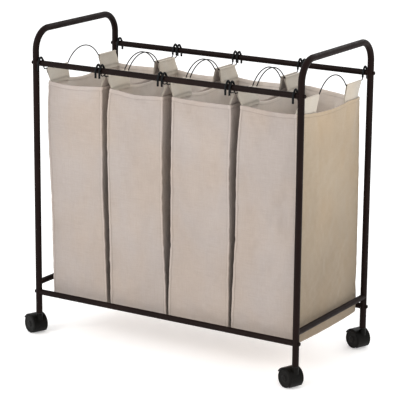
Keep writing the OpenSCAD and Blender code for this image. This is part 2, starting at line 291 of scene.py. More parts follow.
def shell(v, quads, t_out, t_in, rim=0.0):
    """Closed shell around a quad sheet: skins t_out and t_in away from it, with a rounded edge strip.
    Returns vertices, faces and for each face 0 outside, 1 inside, 2 edge."""
    v = np.asarray(v, float)
    quads = np.asarray(quads, int)
    nrm, _ = vertex_normals(v, quads)
    n = len(v)
    t_out = np.broadcast_to(np.asarray(t_out, float), (n,))
    t_in = np.broadcast_to(np.asarray(t_in, float), (n,))
    outer = v + nrm * t_out[:, None]
    inner = v - nrm * t_in[:, None]
    edges = np.concatenate([quads[:, [i, (i + 1) % 4]] for i in range(4)])
    owner = np.tile(np.arange(len(quads)), 4)
    key = np.sort(edges, axis=1)
    _, first, count = np.unique(key[:, 0] * n + key[:, 1], return_index=True, return_counts=True)
    rims = first[count == 1]
    edge_dir = np.zeros_like(v)
    centre = v[quads].mean(1)
    for e in rims:
        i, j = edges[e]
        out = (v[i] + v[j]) / 2 - centre[owner[e]]
        along = v[j] - v[i]
        along /= max(np.linalg.norm(along), 1e-12)
        out -= along * out.dot(along)
        out /= max(np.linalg.norm(out), 1e-12)
        edge_dir[i] += out
        edge_dir[j] += out
    rim_ids = np.unique(edges[rims])
    d = edge_dir[rim_ids]
    d /= np.maximum(np.linalg.norm(d, axis=1, keepdims=True), 1e-12)
    mid = (outer[rim_ids] + inner[rim_ids]) / 2
    half = np.linalg.norm(outer[rim_ids] - inner[rim_ids], axis=1, keepdims=True) / 2
    lip_a = mid + d * half * 0.75 + (outer[rim_ids] - mid) * 0.66
    lip_b = mid + d * half * 0.75 + (inner[rim_ids] - mid) * 0.66
    where = {int(i): k for k, i in enumerate(rim_ids)}
    base = 2 * n
    k = len(rim_ids)
    faces = [tuple(q) for q in quads] + [tuple(q[::-1] + n) for q in quads]
    kinds = [0] * len(quads) + [1] * len(quads)
    for e in rims:
        i, j = (int(t) for t in edges[e])
        a0, a1 = base + where[i], base + where[j]
        b0, b1 = a0 + k, a1 + k
        faces += [(j, i, a0, a1), (a1, a0, b0, b1), (b1, b0, n + i, n + j)]
        kinds += [2, 2, 2]
    return np.vstack([outer, inner, lip_a, lip_b]), faces, kinds


def catmull(coarse, fine):
    """Weights that resample values at the increasing coarse places to the fine ones, with a smooth curve."""
    coarse, fine = np.asarray(coarse, float), np.asarray(fine, float)
    w = np.zeros((len(fine), len(coarse)))
    last = len(coarse) - 1
    for r, f in enumerate(fine):
        i = int(np.clip(np.searchsorted(coarse, f, side="right") - 1, 0, last - 1))
        t = (f - coarse[i]) / (coarse[i + 1] - coarse[i])
        h = ((-t + 2 * t * t - t**3) / 2, (2 - 5 * t * t + 3 * t**3) / 2, (t + 4 * t * t - 3 * t**3) / 2, (-t * t + t**3) / 2)
        for k, c in zip((i - 1, i, i + 1, i + 2), h):
            if k < 0:
                w[r, 0] += 2 * c
                w[r, 1] -= c
            elif k > last:
                w[r, last] += 2 * c
                w[r, last - 1] -= c
            else:
                w[r, k] += c
    return w


def smoothstep(a, b, x):
    t = np.clip((np.asarray(x, float) - a) / (b - a), 0, 1)
    return t * t * (3 - 2 * t)


def bumpy(seed, octaves, u, v):
    """Smooth seeded waves over u, v in metres, about -1 to 1."""
    rng = np.random.default_rng(seed)
    out = np.zeros(np.broadcast(u, v).shape)
    for wave, amp in octaves:
        for _ in range(5):
            ang = rng.uniform(0, 2 * math.pi)
            ph = rng.uniform(0, 2 * math.pi)
            k = 2 * math.pi / (wave * rng.uniform(0.75, 1.35))
            out = out + amp * np.sin(k * (np.cos(ang) * u + np.sin(ang) * v) + ph) / 5**0.5
    return out


# ---------------------------------------------------------------- bags
WIRE_Z, RIM_Z, BASE_Z = 0.734, 0.700, 0.1035
TAB_FRONT, TAB_REAR = (-0.1635, -0.067), (0.083, 0.1635)
WIRES = {1: (-0.384, -0.200), 2: (-0.188, -0.008), 3: (0.004, 0.192), 4: (0.204, 0.384)}
# x of the front panel's two edges at the rim and at the base
EDGES = {
    1: ((-0.3775, -0.2045), (-0.3735, -0.1925)),
    2: ((-0.1795, -0.0165), (-0.1815, -0.0040)),
    3: ((0.0115, 0.1850), (0.0050, 0.1870)),
    4: ((0.2135, 0.3765), (0.1975, 0.3835)),
}
# how far those edges bow sideways, in mm, at depths below the rim
DEPTHS = np.array([0, 25, 75, 130, 200, 275, 355, 440, 520, 600]) / 1000
BOWS = {
    1: ((0, -2.0, -4.0, -4.2, -2.0, 1.2, 3.8, 3.6, 4.2, 4.0), (0, -1.2, -3.2, -4.4, -5.6, -6.6, -4.8, -3.2, -2.2, -2.0)),
    2: ((0, -4.6, -8.8, -8.6, -7.6, -5.6, -3.4, -1.6, 0.0, 0.0), (0, -0.5, -3.0, -5.4, -6.8, -8.2, -7.2, -4.6, -2.0, -1.5)),
    3: ((0, 0.4, 0.6, 0.6, 0.3, 0.6, 0.0, -1.0, -2.0, -2.0), (2.0, 4.0, 2.0, -0.6, -1.4, 0.2, 0.4, -0.2, 0.0, 0.0)),
    4: ((1.0, 1.8, -0.6, -1.8, -1.4, -0.6, -1.8, -2.6, -3.6, -4.0), (0, 0, 0, 0, 0, 0, 0, 0, 0, 0)),
}
REAR_RIGHT = {4: ((0.0050, 0.0030), (0.0080, 0.0090))}  # the last bag's rear right corner stands further out
Y_FRONT, Y_REAR = (-0.1605, -0.1600), (0.1630, 0.1610)  # at the rim, at the base
# front rim: height of its left and right end, how far it dips between them, and where along it
RIMS = {
    1: (0.7015, 0.7030, 0.0048, 0.36),
    2: (0.7022, 0.6985, 0.0056, 0.50),
    3: (0.7022, 0.7000, 0.0036, 0.42),
    4: (0.7030, 0.6985, 0.0042, 0.60),
}
SAG = {4: (0.0085, 0.0062)}  # the last bag's right rim hangs lower, with a shallower gap between its tabs
HEIGHT = RIM_Z - BASE_Z


def give_tone(ob, tone, count):
    """Stores how light or dark the cloth is at each vertex: outer skin, inner skin, then the lips of the edge."""
    full = np.full(count, 1.06)
    full[: len(tone)] = tone
    full[len(tone) : 2 * len(tone)] = 1 + (tone - 1) * 0.6
    at = ob.data.attributes.new("tone", "FLOAT", "POINT")
    at.data.foreach_set("value", full.astype(np.float32))


class Bag:
    """Four panels round a bag, each a grid of (column u, row v) with v measured down from the rim."""

    def __init__(self, n):
        self.n = n
        (self.tl, self.tr), (self.bl, self.br) = EDGES[n]

    def corners(self, v, inset=0.0):
        """Corner points (x, y) at depth v below the rim, front-left, front-right, rear-right, rear-left."""
        t = np.clip(v / HEIGHT, 0, 1) ** 0.8
        place = catmull(DEPTHS, np.clip(v, 0, DEPTHS[-1]))
        left, right = (place @ (np.array(b) / 1000) for b in BOWS[self.n])
        xl = self.tl + (self.bl - self.tl) * t + left + inset
        xr = self.tr + (self.br - self.tr) * t + right - inset
        yf = Y_FRONT[0] + (Y_FRONT[1] - Y_FRONT[0]) * t + inset
        yr = Y_REAR[0] + (Y_REAR[1] - Y_REAR[0]) * t - inset
        one = np.ones_like(t)
        (dx0, dx1), (dy0, dy1) = REAR_RIGHT.get(self.n, ((0, 0), (0, 0)))
        return [
            np.stack([xl * one, yf * one], -1),
            np.stack([xr * one, yf * one], -1),
            np.stack([(xr + dx0 + (dx1 - dx0) * t) * one, (yr + dy0 + (dy1 - dy0) * t) * one], -1),
            np.stack([xl * one, yr * one], -1),
        ]

    def panel(self, k, f, v, inset=None):
        """Points of panel k (0 front, 1 right, 2 rear, 3 left) at fractions f across and depths v."""
        inset = np.zeros_like(v) if inset is None else inset
        c = self.corners(v, inset)
        a, b = c[k], c[(k + 1) % 4]
        xy = a[:, None, :] * (1 - f)[None, :, None] + b[:, None, :] * f[None, :, None]
        # the rim dips in the middle of the front and rear, and between the tabs at the sides
        if k in (0, 2):
            zl, zr, dip, at = RIMS[self.n]
            if k == 2:
                zr -= SAG.get(self.n, (0, 0))[0]
            g = f if k == 0 else 1 - f
            bend = g ** (math.log(0.5) / math.log(at))
            rim = zl + (zr - zl) * g - dip * np.sin(np.pi * np.clip(bend, 0, 1)) ** 1.25
            low = BASE_Z + 0.0015 - 0.0015 * np.sin(np.pi * f)
        else:
            y = xy[0, :, 1]
            mid, half = (TAB_FRONT[1] + TAB_REAR[0]) / 2, (TAB_REAR[0] - TAB_FRONT[1]) / 2
            end = RIMS[self.n][1 if k == 1 else 0]
            down, gap = SAG.get(self.n, (0.0, 0.0125)) if k == 1 else (0.0, 0.0125)
            rim = end - down * smoothstep(Y_FRONT[0], -0.085, y) - gap * np.clip(1 - ((y - mid) / (half + 0.012)) ** 2, 0, 1) ** 0.8
            low = BASE_Z + 0.0015 - 0.0045 * np.sin(np.pi * f) ** 0.6
        s = (v / HEIGHT)[:, None]
        z = rim[None, :] * (1 - s) + low[None, :] * s
        return np.concatenate([xy, z[:, :, None]], -1)


OUTWARD = [np.array([0, -1.0]), np.array([1.0, 0]), np.array([0, 1.0]), np.array([-1.0, 0])]
CELL = 0.0112


def coarse_grid(bag):
    """Simulation cloth of one bag: wall grid, bottom grid and four tabs. Returns data to run and read it."""
    fx = np.linspace(0, 1, 17)
    fy = np.linspace(0, 1, 31)
    v = np.linspace(0, HEIGHT, 54)
    verts, faces, pin = [], [], []
    loops = []
    panels = [bag.panel(k, fx if k in (0, 2) else fy, v) for k in range(4)]
    ring = np.concatenate([p[:, :-1] for p in panels], axis=1)
    rows, cols = ring.shape[:2]
    verts = list(ring.reshape(-1, 3))
    for r in range(rows - 1):
        for c in range(cols):
            c2 = (c + 1) % cols
            faces.append((r * cols + c, (r + 1) * cols + c, (r + 1) * cols + c2, r * cols + c2))
    # bottom: shares the last ring
    nx, ny = len(fx), len(fy)
    last = (rows - 1) * cols
    idx = np.zeros((ny, nx), int)
    idx[0, :] = last + np.arange(nx)
    idx[:, nx - 1] = last + nx - 1 + np.arange(ny)
    idx[ny - 1, ::-1] = last + (nx - 1) + (ny - 1) + np.arange(nx)
    left = last + 2 * (nx - 1) + (ny - 1) + np.arange(ny)
    left[-1] = last
    idx[::-1, 0] = left
    c = [ring[-1, i] for i in (0, nx - 1, nx - 1 + ny - 1, 2 * (nx - 1) + ny - 1)]
    for j in range(1, ny - 1):
        for i in range(1, nx - 1):
            s, t = fx[i], fy[j]
            p = (c[0] * (1 - s) + c[1] * s) * (1 - t) + (c[3] * (1 - s) + c[2] * s) * t
            idx[j, i] = len(verts)
            verts.append(p + np.array([0, 0, -0.004 * math.sin(math.pi * s) * math.sin(math.pi * t)]))
    for j in range(ny - 1):
        for i in range(nx - 1):
            faces.append((idx[j, i], idx[j, i + 1], idx[j + 1, i + 1], idx[j + 1, i]))
    # tabs from the rim up to the wires
    wl, wr = WIRES[bag.n]
    for k, wx in ((1, wr), (3, wl)):
        start = (nx - 1) if k == 1 else 2 * (nx - 1) + (ny - 1)
        ids = [(start + i) % cols for i in range(ny)]
        for lo, hi in (TAB_FRONT, TAB_REAR):
            inside = [i for i in ids if lo - 0.006 <= ring[0, i, 1] <= hi + 0.006]
            prev = inside
            steps = 3
            for s in range(1, steps + 1):
                t = s / steps
                row = []
                for i in inside:
                    p = ring[0, i] * (1 - t) + np.array([wx, ring[0, i, 1], WIRE_Z]) * t
                    row.append(len(verts))
                    verts.append(p)
                    if s == steps:
                        pin.append(len(verts) - 1)
                for a in range(len(row) - 1):
                    faces.append((prev[a], prev[a + 1], row[a + 1], row[a]))
                prev = row
    return np.array(verts), faces, pin, (rows, cols, idx, fx, fy, v)


def simulate(bag):
    """Hangs the bag's cloth from its tabs and returns how far each wall and bottom point moved."""
    verts, faces, pin, info = coarse_grid(bag)
    rng = np.random.default_rng(40 + bag.n)
    start = verts + rng.normal(0, 0.0004, verts.shape)
    start[pin] = verts[pin]
    ob = new_object(f"sim_{bag.n}", start, faces, [])
    group = ob.vertex_groups.new(name="pin")
    group.add([int(i) for i in pin], 1.0, "REPLACE")
    mod = ob.modifiers.new("Cloth", "CLOTH")
    s = mod.settings
    s.quality = 7
    s.mass = 0.004
    s.air_damping = 2.0
    s.tension_stiffness = 60
    s.compression_stiffness = 20
    s.shear_stiffness = 15
    s.bending_stiffness = 0.6
    s.tension_damping = 15
    s.compression_damping = 15
    s.shear_damping = 15
    s.bending_damping = 1.5
    s.vertex_group_mass = "pin"
    s.shrink_min = -0.006
    mod.collision_settings.use_collision = False
    mod.collision_settings.use_self_collision = False
    s.effector_weights.gravity = 0.6
    frames = 36
    mod.point_cache.frame_start, mod.point_cache.frame_end = 1, frames
    scene.frame_start, scene.frame_end = 1, frames
    for f in range(1, frames + 1):
        scene.frame_set(f)
    done = ob.evaluated_get(bpy.context.evaluated_depsgraph_get())
    out = np.zeros(len(done.data.vertices) * 3)
    done.data.vertices.foreach_get("co", out)
    out = out.reshape(-1, 3)
    me = ob.data
    bpy.data.objects.remove(ob)
    bpy.data.meshes.remove(me)
    scene.frame_set(1)
    return out - verts, info


def spread(length, near, step, gaps):
    """Places along a panel edge, 0 to length: close together near both ends and step apart between."""
    ends = np.cumsum(np.concatenate([[0.0], gaps]))
    ends = ends[ends < near + 1e-9]
    n = max(2, int(round((length - 2 * ends[-1]) / step)))
    mid = np.linspace(ends[-1], length - ends[-1], n + 1)
    return np.concatenate([ends[:-1], mid, (length - ends[:-1])[::-1]])


GAPS = np.array([0.0007, 0.0008, 0.0009, 0.0010, 0.0010, 0.0006, 0.0006, 0.0008, 0.0016, 0.0030])
HEM = 0.0095
SEAM = 0.0050


def wall_rows():
    top = [0, 0.0008, 0.0022, 0.0045, 0.0064, 0.0074, 0.0080, 0.0087, 0.0094, 0.0101, 0.0108, 0.0118, 0.0140, 0.0175]
    n = int(round((HEIGHT - 0.014 - 0.0175) / 0.0060))
    mid = np.linspace(0.0175, HEIGHT - 0.014, n + 1)[1:]
    low = HEIGHT - np.array([0.0105, 0.0080, 0.0060, 0.0042, 0.0026, 0.0013, 0.0])
    return np.concatenate([top, mid, low])


def folds(k, n, f, v, w):
    """Soft hand-placed folds on panel k, in metres outwards, over fractions f (across) and depths v."""
    u = f[None, :] * w
    d = v[:, None]
    out = np.zeros((len(v), len(f)))
    rng = np.random.default_rng(900 + 10 * n + k)

    def ridge(u0, d0, u1, d1, width, amp):
        a, b = np.array([u0, d0]), np.array([u1, d1])
        t = b - a
        length = math.hypot(*t)
        t = t / length
        along = (u - a[0]) * t[0] + (d - a[1]) * t[1]
        off = -(u - a[0]) * t[1] + (d - a[1]) * t[0]
        s = np.clip(along / length, 0, 1)
        body = np.exp(-((off / (width * (0.6 + 0.9 * s))) ** 2))
        ends = smoothstep(-0.01, 0.03, along) * (1 - smoothstep(length * 0.55, length * 1.05, along))
        return amp * body * ends

    if k in (0, 2):  # wide slack folds across the panel, then pulls from the two mouth corners
        for _ in range(4):
            u0, d0 = rng.uniform(0.0, 0.25) * w, rng.uniform(0.03, 0.26)
            run, drop = rng.uniform(0.35, 0.75) * w, rng.uniform(0.20, 0.34)
            if rng.uniform() < 0.3:
                u0, run = w - u0, -run
            out += ridge(u0, d0, u0 + run, d0 + drop, rng.uniform(0.013, 0.022), rng.uniform(2.0, 3.4) * 1e-3 * rng.choice([-1, 1]))
        for side in (0, 1):
            for _ in range(3):
                u0 = 0.006 if side == 0 else w - 0.006
                run = rng.uniform(0.05, 0.14) * (1 if side == 0 else -1)
                d0, d1 = rng.uniform(0.008, 0.02), rng.uniform(0.09, 0.28)
                out += ridge(u0, d0, u0 + run, d1, rng.uniform(0.006, 0.011), rng.uniform(0.7, 1.5) * 1e-3 * rng.choice([-1, 1]))
    else:  # folds that fan down from the ends of the gap between the tabs
        lo = (TAB_FRONT[1] - Y_FRONT[0]) if k == 1 else (Y_REAR[0] - TAB_REAR[0])
        hi = (TAB_REAR[0] - Y_FRONT[0]) if k == 1 else (Y_REAR[0] - TAB_FRONT[1])
        for u0 in (lo, hi):
            for _ in range(4):
                run = rng.uniform(-0.05, 0.07) * (1 if u0 == lo else -1)
                out += ridge(u0, 0.004, u0 + run, rng.uniform(0.12, 0.36), rng.uniform(0.007, 0.013), rng.uniform(0.7, 1.7) * 1e-3 * rng.choice([-1, 1]))
    return out


def soft_cap(x, low, high):
    """Keeps x between low and high without a hard edge."""
    return np.where(x >= 0, high * np.tanh(x / max(high, 1e-9)), low * np.tanh(x / min(low, -1e-9)))


def build_bag(n):
    bag = Bag(n)
    v = wall_rows()
    w_front = (bag.br - bag.bl + bag.tr - bag.tl) / 2
    w_side = Y_REAR[0] - Y_FRONT[0]
    us = spread(w_front, 0.012, 0.0060, GAPS)
    ss = spread(w_side, 0.012, 0.0062, GAPS)
    fr = [us / w_front, ss / w_side, us / w_front, ss / w_side]
    widths = [w_front, w_side, w_front, w_side]
    # the wall curls in under the base
    curl = 0.0075
    under = np.clip((v - (HEIGHT - curl)) / curl, 0, 1)
    inset = curl * (1 - np.sqrt(np.clip(1 - under**2, 0, 1)))
    moved, info = simulate(bag)
    grids = []
    for k in range(4):
        f = fr[k]
        p = bag.panel(k, f, v, inset)
        w = widths[k]
        edge = np.minimum(f, 1 - f) * w  # distance from the nearer vertical seam
        depth = v[:, None]
        outward = np.zeros_like(p)
        outward[..., :2] = OUTWARD[k]
        disp = np.zeros(p.shape[:2])
        if moved is not None:
            rows, cols, _, fx, fy, cv = info
            cf = fx if k in (0, 2) else fy
            start = [0, 16, 46, 62][k]
            ids = [(start + i) % cols for i in range(len(cf))]
            d = moved[: rows * cols].reshape(rows, cols, 3)[:, ids]
            fine = np.einsum("ra,abc,fb->rfc", catmull(cv, np.minimum(v, HEIGHT)), d, catmull(cf, f))
            along = fine[..., :2] @ OUTWARD[k]
            side = fine[..., :2] - along[..., None] * OUTWARD[k]
            along = along - 0.5 * along.mean()
            out_cap = 0.0028 if (n, k) == (4, 1) else 0.0042 if k in (1, 3) else 0.0062
            disp += soft_cap(along * (0.7 if k in (1, 3) else 1.0), -0.0060, out_cap)
            p[..., :2] += soft_cap(side, -0.002, 0.002)
            zz = fine[..., 2] - fine[..., 2].mean(axis=1, keepdims=True)
            p[..., 2] += soft_cap(zz, -0.0025, 0.0025) * smoothstep(0, 0.02, depth) * smoothstep(0, 0.03, HEIGHT - depth)
        # gentle hollow in the middle of each panel and small-scale unevenness
        calm = smoothstep(0, 0.018, edge)[None, :] * (0.35 + 0.65 * smoothstep(0, 0.03, depth))
        calm = calm * (0.25 + 0.75 * smoothstep(0, 0.05, HEIGHT - depth))
        seed = 100 * n + 10 * k
        wav = bumpy(seed, [(0.16, 0.0010), (0.075, 0.00040), (0.032, 0.00010)], f[None, :] * w, depth)
        disp += calm * (wav * (0.7 if k in (1, 3) else 1.0) + folds(k, n, f, v, w))
        # puckers along the vertical seams and the hem
        pucker = bumpy(seed + 3, [(0.019, 0.00022), (0.010, 0.00010)], edge[None, :] * 0.35, depth)
        disp += pucker * np.exp(-((edge[None, :] - 0.007) / 0.006) ** 2)
        pucker = bumpy(seed + 5, [(0.021, 0.00020), (0.011, 0.00010)], f[None, :] * w, depth * 0.35)
        disp += pucker * np.exp(-((depth - 0.015) / 0.008) ** 2)
        p = p + outward * disp[..., None]
        grids.append(p)
    # neighbouring panels share their corner column: meet halfway, then round the corner
    for k in range(4):
        a, b = grids[k], grids[(k + 1) % 4]
        meet = (a[:, -1] + b[:, 0]) / 2
        for g, col, order in ((a, -1, -1), (b, 0, 1)):
            shift = meet - g[:, col]
            w = widths[k] if g is a else widths[(k + 1) % 4]
            f = fr[k] if g is a else fr[(k + 1) % 4]
            dist = (1 - f) * w if g is a else f * w
            g += shift[:, None, :] * (1 - smoothstep(0, 0.030, dist))[None, :, None]
    rounded = [g.copy() for g in grids]
    radius = 0.0024 + 0.0045 * smoothstep(HEIGHT - 0.05, HEIGHT, v)
    for k in range(4):
        a, b = grids[k], grids[(k + 1) % 4]
        corner = a[:, -1]
        da = a[:, -9] - corner
        db = b[:, 8] - corner
        da = da / np.linalg.norm(da, axis=1, keepdims=True)
        db = db / np.linalg.norm(db, axis=1, keepdims=True)
        for g, out, mine, other, dist in (
            (a, rounded[k], da, db, (1 - fr[k]) * widths[k]),
            (b, rounded[(k + 1) % 4], db, da, fr[(k + 1) % 4] * widths[(k + 1) % 4]),
        ):
            for c in range(len(dist)):
                t = dist[c]
                inside = radius > t
                if not inside.any():
                    continue
                r = radius[inside][:, None]
                th = (math.pi / 4) * (1 - t / r)
                cen = corner[inside] + r * (mine[inside] + other[inside])
                out[inside, c] = cen - r * (other[inside] * np.cos(th) + mine[inside] * np.sin(th))
    grids = rounded
    # one ring of columns, and the rows down the wall
    ring = np.concatenate([g[:, :-1] for g in grids], axis=1)
    for k in range(4):  # the shared corner column is the same point from both panels
        pass
    rows, cols = ring.shape[:2]
    nx, ny = len(us), len(ss)
    edge_all = np.concatenate([(np.minimum(fr[k], 1 - fr[k]) * widths[k])[:-1] for k in range(4)])
    kind_all = np.concatenate([np.full(len(fr[k]) - 1, k) for k in range(4)])
    verts = list(ring.reshape(-1, 3))
    quads, part = [], []
    for r in range(rows - 1):
        for c in range(cols):
            c2 = (c + 1) % cols
            quads.append((r * cols + c, (r + 1) * cols + c, (r + 1) * cols + c2, r * cols + c2))
            part.append(0)
    # bottom panel: a Coons patch inside the last ring, sagging a little
    last = (rows - 1) * cols
    idx = np.zeros((ny, nx), int)
    idx[0, :] = last + np.arange(nx)
    idx[:, nx - 1] = last + nx - 1 + np.arange(ny)
    idx[ny - 1, ::-1] = last + (nx - 1) + (ny - 1) + np.arange(nx)
    left = last + 2 * (nx - 1) + (ny - 1) + np.arange(ny)
    left[-1] = last
    idx[::-1, 0] = left
    ringv = ring[-1]
    A = ringv[idx[0] - last]
    C = ringv[idx[-1] - last]
    L = ringv[idx[:, 0] - last]
    R = ringv[idx[:, -1] - last]
    s, t = fr[0][None, :, None], fr[1][:, None, None]
    coons = (
        A[None] * (1 - t) + C[None] * t + L[:, None] * (1 - s) + R[:, None] * s
        - (A[0] * (1 - s) * (1 - t) + A[-1] * s * (1 - t) + C[0] * (1 - s) * t + C[-1] * s * t)
    )
    u, w = fr[0] * w_front, fr[1] * w_side
    belly = np.sin(np.pi * fr[0])[None, :] ** 0.8 * np.sin(np.pi * fr[1])[:, None] ** 0.5
    ripple = bumpy(700 + n, [(0.11, 0.0011), (0.05, 0.0005), (0.024, 0.00018)], u[None, :], w[:, None])
    inner_mask = smoothstep(0, 0.03, np.minimum(u, w_front - u))[None, :] * smoothstep(0, 0.03, np.minimum(w, w_side - w))[:, None]
    coons[..., 2] += -0.0045 * belly + ripple * inner_mask
    for j in range(1, ny - 1):
        for i in range(1, nx - 1):
            idx[j, i] = len(verts)
            verts.append(coons[j, i])
    for j in range(ny - 1):
        for i in range(nx - 1):
            quads.append((idx[j, i], idx[j, i + 1], idx[j + 1, i + 1], idx[j + 1, i]))
            part.append(1)
    verts = np.array(verts)
    quads = np.array(quads)
    # extra cloth in the hem and the vertical seams, with a sewn groove beside each
    raised = np.zeros((rows, cols))
    shade = np.ones((rows, cols))
    d = v[:, None]
    flat = np.isin(kind_all, (0, 2))[None, :]
    hem = np.where(flat[0], HEM, 0.0080)[None, :]
    band = smoothstep(0.0, 0.0012, d) * (1 - smoothstep(hem - 0.0004, hem + 0.0008, d))
    raised += 0.0010 * band
    raised -= 0.00045 * np.exp(-(((d - hem + 0.0018) / 0.00065) ** 2))
    shade += 0.050 * (1 - smoothstep(hem - 0.0004, hem + 0.0006, d)) + 0.07 * (1 - smoothstep(0.0008, 0.0034, d))
    shade -= 0.18 * np.exp(-(((d - hem - 0.0006) / 0.0011) ** 2))
    e = edge_all[None, :]
    below = smoothstep(HEM, HEM + 0.004, d)
    seam = np.where(flat, 1 - smoothstep(SEAM + 0.0002, SEAM + 0.0012, e), 0.5 * (1 - smoothstep(0.0016, 0.0034, e)))
    raised += 0.0009 * seam * below
    raised -= np.where(flat, 0.00042 * np.exp(-(((e - SEAM + 0.0009) / 0.0006) ** 2)), 0) * below
    shade += 0.110 * seam
    shade -= np.where(flat, 0.24 * np.exp(-(((e - SEAM - 0.0008) / 0.0011) ** 2)), 0.24 * np.exp(-(((e - 0.0034) / 0.0012) ** 2))) * below
    low = HEIGHT - d
    raised += 0.0004 * (1 - smoothstep(0.007, 0.0085, low)) * smoothstep(0.0, 0.002, low)
    shade += 0.04 * (1 - smoothstep(0.006, 0.0080, low))
    shade -= 0.12 * np.exp(-(((low - 0.0086) / 0.0011) ** 2))
    shade *= 1 - np.where(flat, 0.06, 0.43) * np.clip((d - 0.03) / (HEIGHT - 0.03), 0, 1) ** 0.9
    t_out = np.zeros(len(verts)) + 0.0006
    t_out[: rows * cols] += raised.reshape(-1)
    t_in = np.zeros(len(verts)) + 0.0006
    inside_hem = 0.0006 * smoothstep(0.0, 0.0012, d) * (1 - smoothstep(hem - 0.0004, hem + 0.0008, d)) + 0 * e
    t_in[: rows * cols] += inside_hem.reshape(-1)
    vv, ff, kinds = shell(verts, quads, t_out, t_in)
    nq = len(quads)
    mats = np.array(kinds)
    index = np.where(mats == 1, 1, 0)
    part2 = np.concatenate([part, part, np.zeros(len(ff) - 2 * nq, int)])
    index = np.where((part2 == 1), 2, index)
    side = np.tile(kind_all == 1, rows - 1)
    index[: len(side)] = np.where(side, 3, index[: len(side)])
    body = new_object(f"bag_{n}_cloth", vv, ff, [CANVAS, LINING, BASECLOTH, SIDECLOTH if n == 4 else SHADECLOTH], index)
    tone = np.ones(len(verts))
    tone[: rows * cols] = shade.reshape(-1)
    give_tone(body, tone, len(vv))
    nrm, _ = vertex_normals(verts, quads)
    outer = (verts + nrm * t_out[:, None])[: rows * cols].reshape(rows, cols, 3)
    normal = nrm[: rows * cols].reshape(rows, cols, 3)
    return body, outer, normal, ring, (v, fr, widths, nx, ny, cols)


def dash_line(points, normals, pitch=0.0041, stitch=0.0030, width=0.00028, height=0.00026, lift=0.0):
    """Stitches along a line on the cloth: short spindles, as vertices and faces."""
    points, normals = np.asarray(points), np.asarray(normals)
    seg = np.linalg.norm(np.diff(points, axis=0), axis=1)
    s = np.concatenate([[0], np.cumsum(seg)])
    n = int((s[-1] - 0.002) / pitch)
    verts, faces = [], []
    starts = 0.001 + pitch * np.arange(n)

    def at(q):
        return np.stack([np.interp(q, s, points[:, i]) for i in range(3)], -1)

    def nat(q):
        return np.stack([np.interp(q, s, normals[:, i]) for i in range(3)], -1)

    a, b = at(starts), at(starts + stitch)
    mid, nn = at(starts + stitch / 2), nat(starts + stitch / 2)
    nn /= np.linalg.norm(nn, axis=1, keepdims=True)
    t = (b - a) / np.linalg.norm(b - a, axis=1, keepdims=True)
    side = np.cross(nn, t)
    mid = mid + nn * lift
    for i in range(n):
        k = len(verts)
        q1, q2 = a[i] * 0.68 + b[i] * 0.32, a[i] * 0.32 + b[i] * 0.68
        verts.append(a[i] - nn[i] * height * 0.6)
        for q in (q1, q2):
            q = q + nn[i] * lift
            verts += [q + side[i] * width, q + nn[i] * height, q - side[i] * width, q - nn[i] * height]
        verts.append(b[i] - nn[i] * height * 0.6)
        for j in range(4):
            j2 = (j + 1) % 4
            faces += [(k, k + 1 + j2, k + 1 + j), (k + 1 + j, k + 1 + j2, k + 5 + j2, k + 5 + j), (k + 5 + j, k + 5 + j2, k + 9)]
    return verts, faces


def column_line(outer, normal, f, widths, fr, k, dist, from_end, rows, nx, ny):
    """Points down a wall at a given distance from one edge of panel k."""
    start = [0, nx - 1, nx - 1 + ny - 1, 2 * (nx - 1) + ny - 1][k]
    count = nx if k in (0, 2) else ny
    cols = outer.shape[1]
    ids = [(start + i) % cols for i in range(count)]
    target = 1 - dist / widths[k] if from_end else dist / widths[k]
    pos = np.interp(target, fr[k], np.arange(count))
    i, t = int(pos), pos - int(pos)
    j = min(i + 1, count - 1)
    p = outer[rows][:, ids[i]] * (1 - t) + outer[rows][:, ids[j]] * t
    q = normal[rows][:, ids[i]] * (1 - t) + normal[rows][:, ids[j]] * t
    return p, q


def make_stitches(n, outer, normal, info):
    v, fr, widths, nx, ny, cols = info
    verts, faces = [], []

    def add(p, q, **kw):
        a, b = dash_line(p, q, **kw)
        k = len(verts)
        verts.extend(a)
        faces.extend([tuple(i + k for i in face) for face in b])

    down = np.where((v > 0.018) & (v < HEIGHT - 0.006))[0]
    for k in (0, 2):
        for end in (False, True):
            p, q = column_line(outer, normal, None, widths, fr, k, SEAM - 0.0009, end, down, nx, ny)
            add(p, q)
    for k in range(4):
        hem = (HEM if k in (0, 2) else 0.0080) - 0.0018
        i = np.interp(hem, v, np.arange(len(v)))
        a, t = int(i), i - int(i)
        start = [0, nx - 1, nx - 1 + ny - 1, 2 * (nx - 1) + ny - 1][k]
        count = nx if k in (0, 2) else ny
        ids = [(start + c) % cols for c in range(count)]
        p = outer[a, ids] * (1 - t) + outer[a + 1, ids] * t
        q = normal[a, ids]
        if k in (1, 3):
            keep = (p[:, 1] > TAB_FRONT[1] - 0.002) & (p[:, 1] < TAB_REAR[0] + 0.002)
            p, q = p[keep], q[keep]
        add(p, q)
    return verts, faces


